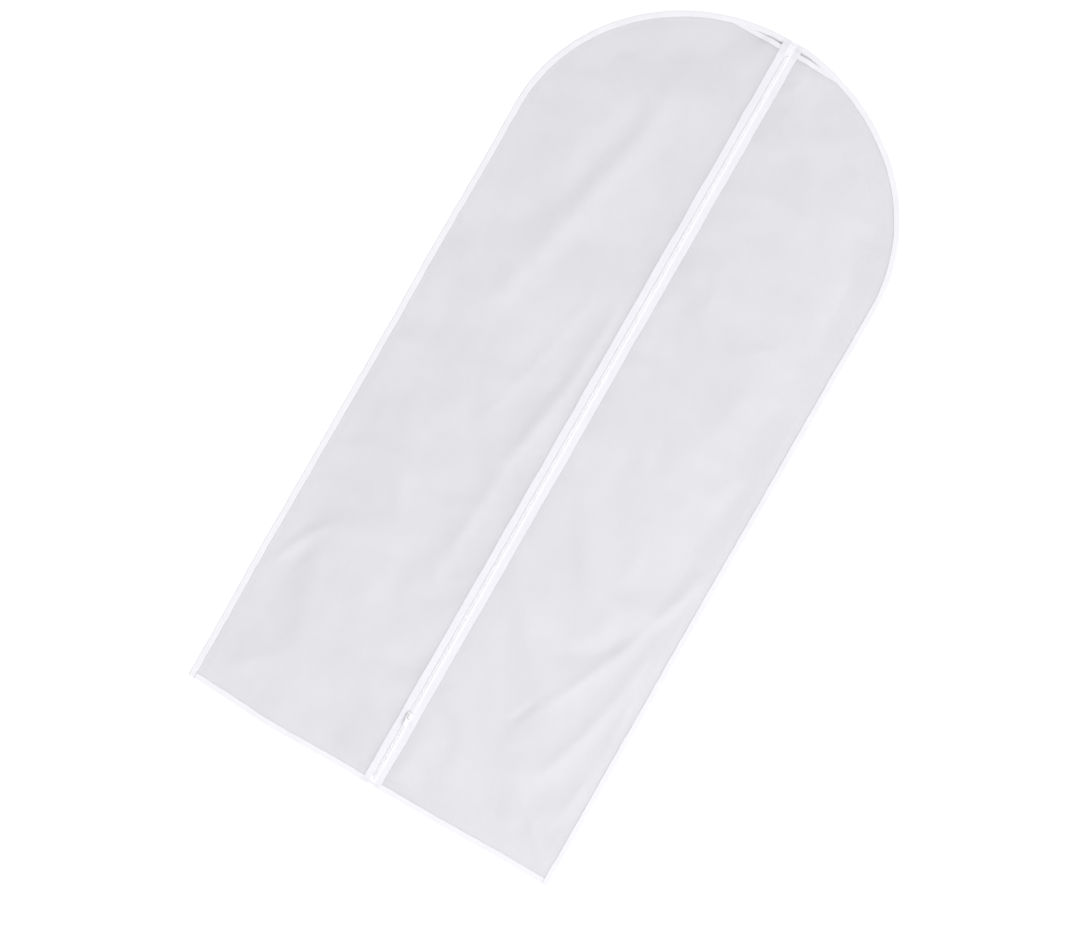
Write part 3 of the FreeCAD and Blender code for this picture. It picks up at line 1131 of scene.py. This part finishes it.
def makeNeckStitches(name, side):
    start = zipper["half"] + stitch["endGap"]
    end = max(abs(p.x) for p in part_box("neck_seam_thread_" + name))
    piece = stitchRow("stitches.neck." + name, end - start, stitch["pitch"], stitch["length"],
                      stitch["width"], stitch["height"])
    points = pointsOf(piece)
    x = side * (start + points[:, 1])
    y = neckTop - stitch["neckInset"] + points[:, 0]
    z = frontHeight(x, y) + bag["bindingTape"] + stitch["overTape"] + points[:, 2]
    putPoints(piece, layDown(np.column_stack([x, y, z])))
    faceOut(piece)
    smooth(piece, 80)
    return finishPiece(piece, thread, "thread", "bag", "neck_seam_thread_" + name)


def makeCoilStitches(name, side):
    # the thread that ties the coil down crosses over it between the turns
    low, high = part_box("zip_coil_" + name)
    middle = side * (abs(low.x) + abs(high.x)) / 2
    piece = stitchRow("stitches.coil." + name, high.y - low.y - 2 * stitch["endGap"], zipper["pitch"],
                      tie["share"] * zipper["pitch"], tie["width"], tie["height"])
    points = pointsOf(piece)
    points[:, 0] += middle
    points[:, 1] += low.y + stitch["endGap"] + (zipper["pitch"] / 2 if side < 0 else 0)
    points[:, 2] += tapeUnder(0 * points[:, 0], points[:, 1]) + zipper["tape"]
    points[:, 2] += zipper["rise"] + tie["over"]
    putPoints(piece, points)
    smooth(piece, 80)
    return finishPiece(piece, thread, "thread", "bag", "zip_coil_thread_" + name)


def makeBartack(name):
    # a bar of stitches lying side by side across the zip's end
    low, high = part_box("zip_bartack_" + name)
    piece = stitchRow("bartack." + name, high.x - low.x, tack["pitch"], tack["pitch"], high.y - low.y,
                      tack["height"])
    points = pointsOf(piece)
    x = low.x + points[:, 1]
    zigzag = tack["zigzag"] * np.sign(np.sin(points[:, 1] / tack["pitch"] * math.pi))
    y = (low.y + high.y) / 2 + points[:, 0] + zigzag
    z = tapeUnder(x, 0 * x + (low.y + high.y) / 2) + zipper["tape"] + tack["over"] + points[:, 2]
    putPoints(piece, layDown(np.column_stack([x, y, z])))
    faceOut(piece)
    smooth(piece, 80)
    return finishPiece(piece, thread, "thread", "bag", "zip_bartack_" + name)


makeEdgeStitches()
makeBottomStitches()
for name, side in (("left", -1), ("right", 1)):
    makeZipStitches(name, side)
    makeNeckStitches(name, side)
    makeCoilStitches(name, side)
for name in ("top", "bottom"):
    makeBartack(name)
report("seams stitched")


# ---- slider ----

casting = dict(round=0.16 * mm, flatAngle=1.0)


def castPiece(name, node, body):
    # the casting's own shape, with its edges rounded as the mould leaves them
    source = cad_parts[node]
    pickNothing()
    piece = bpy.data.objects.new(name, source.data.copy())
    bpy.context.scene.collection.objects.link(piece)
    pick(piece)
    bpy.ops.object.mode_set(mode="EDIT")
    bpy.ops.mesh.select_all(action="SELECT")
    bpy.ops.mesh.remove_doubles(threshold=0.001 * mm)
    bpy.ops.mesh.dissolve_limited(angle_limit=math.radians(casting["flatAngle"]))
    bpy.ops.object.mode_set(mode="OBJECT")
    edges = piece.modifiers.new("edges", "BEVEL")
    edges.width = casting["round"]
    edges.segments = 3
    edges.limit_method = "ANGLE"
    edges.angle_limit = math.radians(25)
    applyAll(piece)
    smooth(piece, 45)
    return finishPiece(piece, paint, "slider", body, node)


castPiece("slider.body", "zip_slider_body", "slider")
castPiece("slider.tab", "zip_pull_tab", "tab")
for name in ("left", "right"):
    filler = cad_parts["zip_coil_cord_" + name]
    filler.data.materials.clear()
    filler.data.materials.append(thread)
report("slider made")
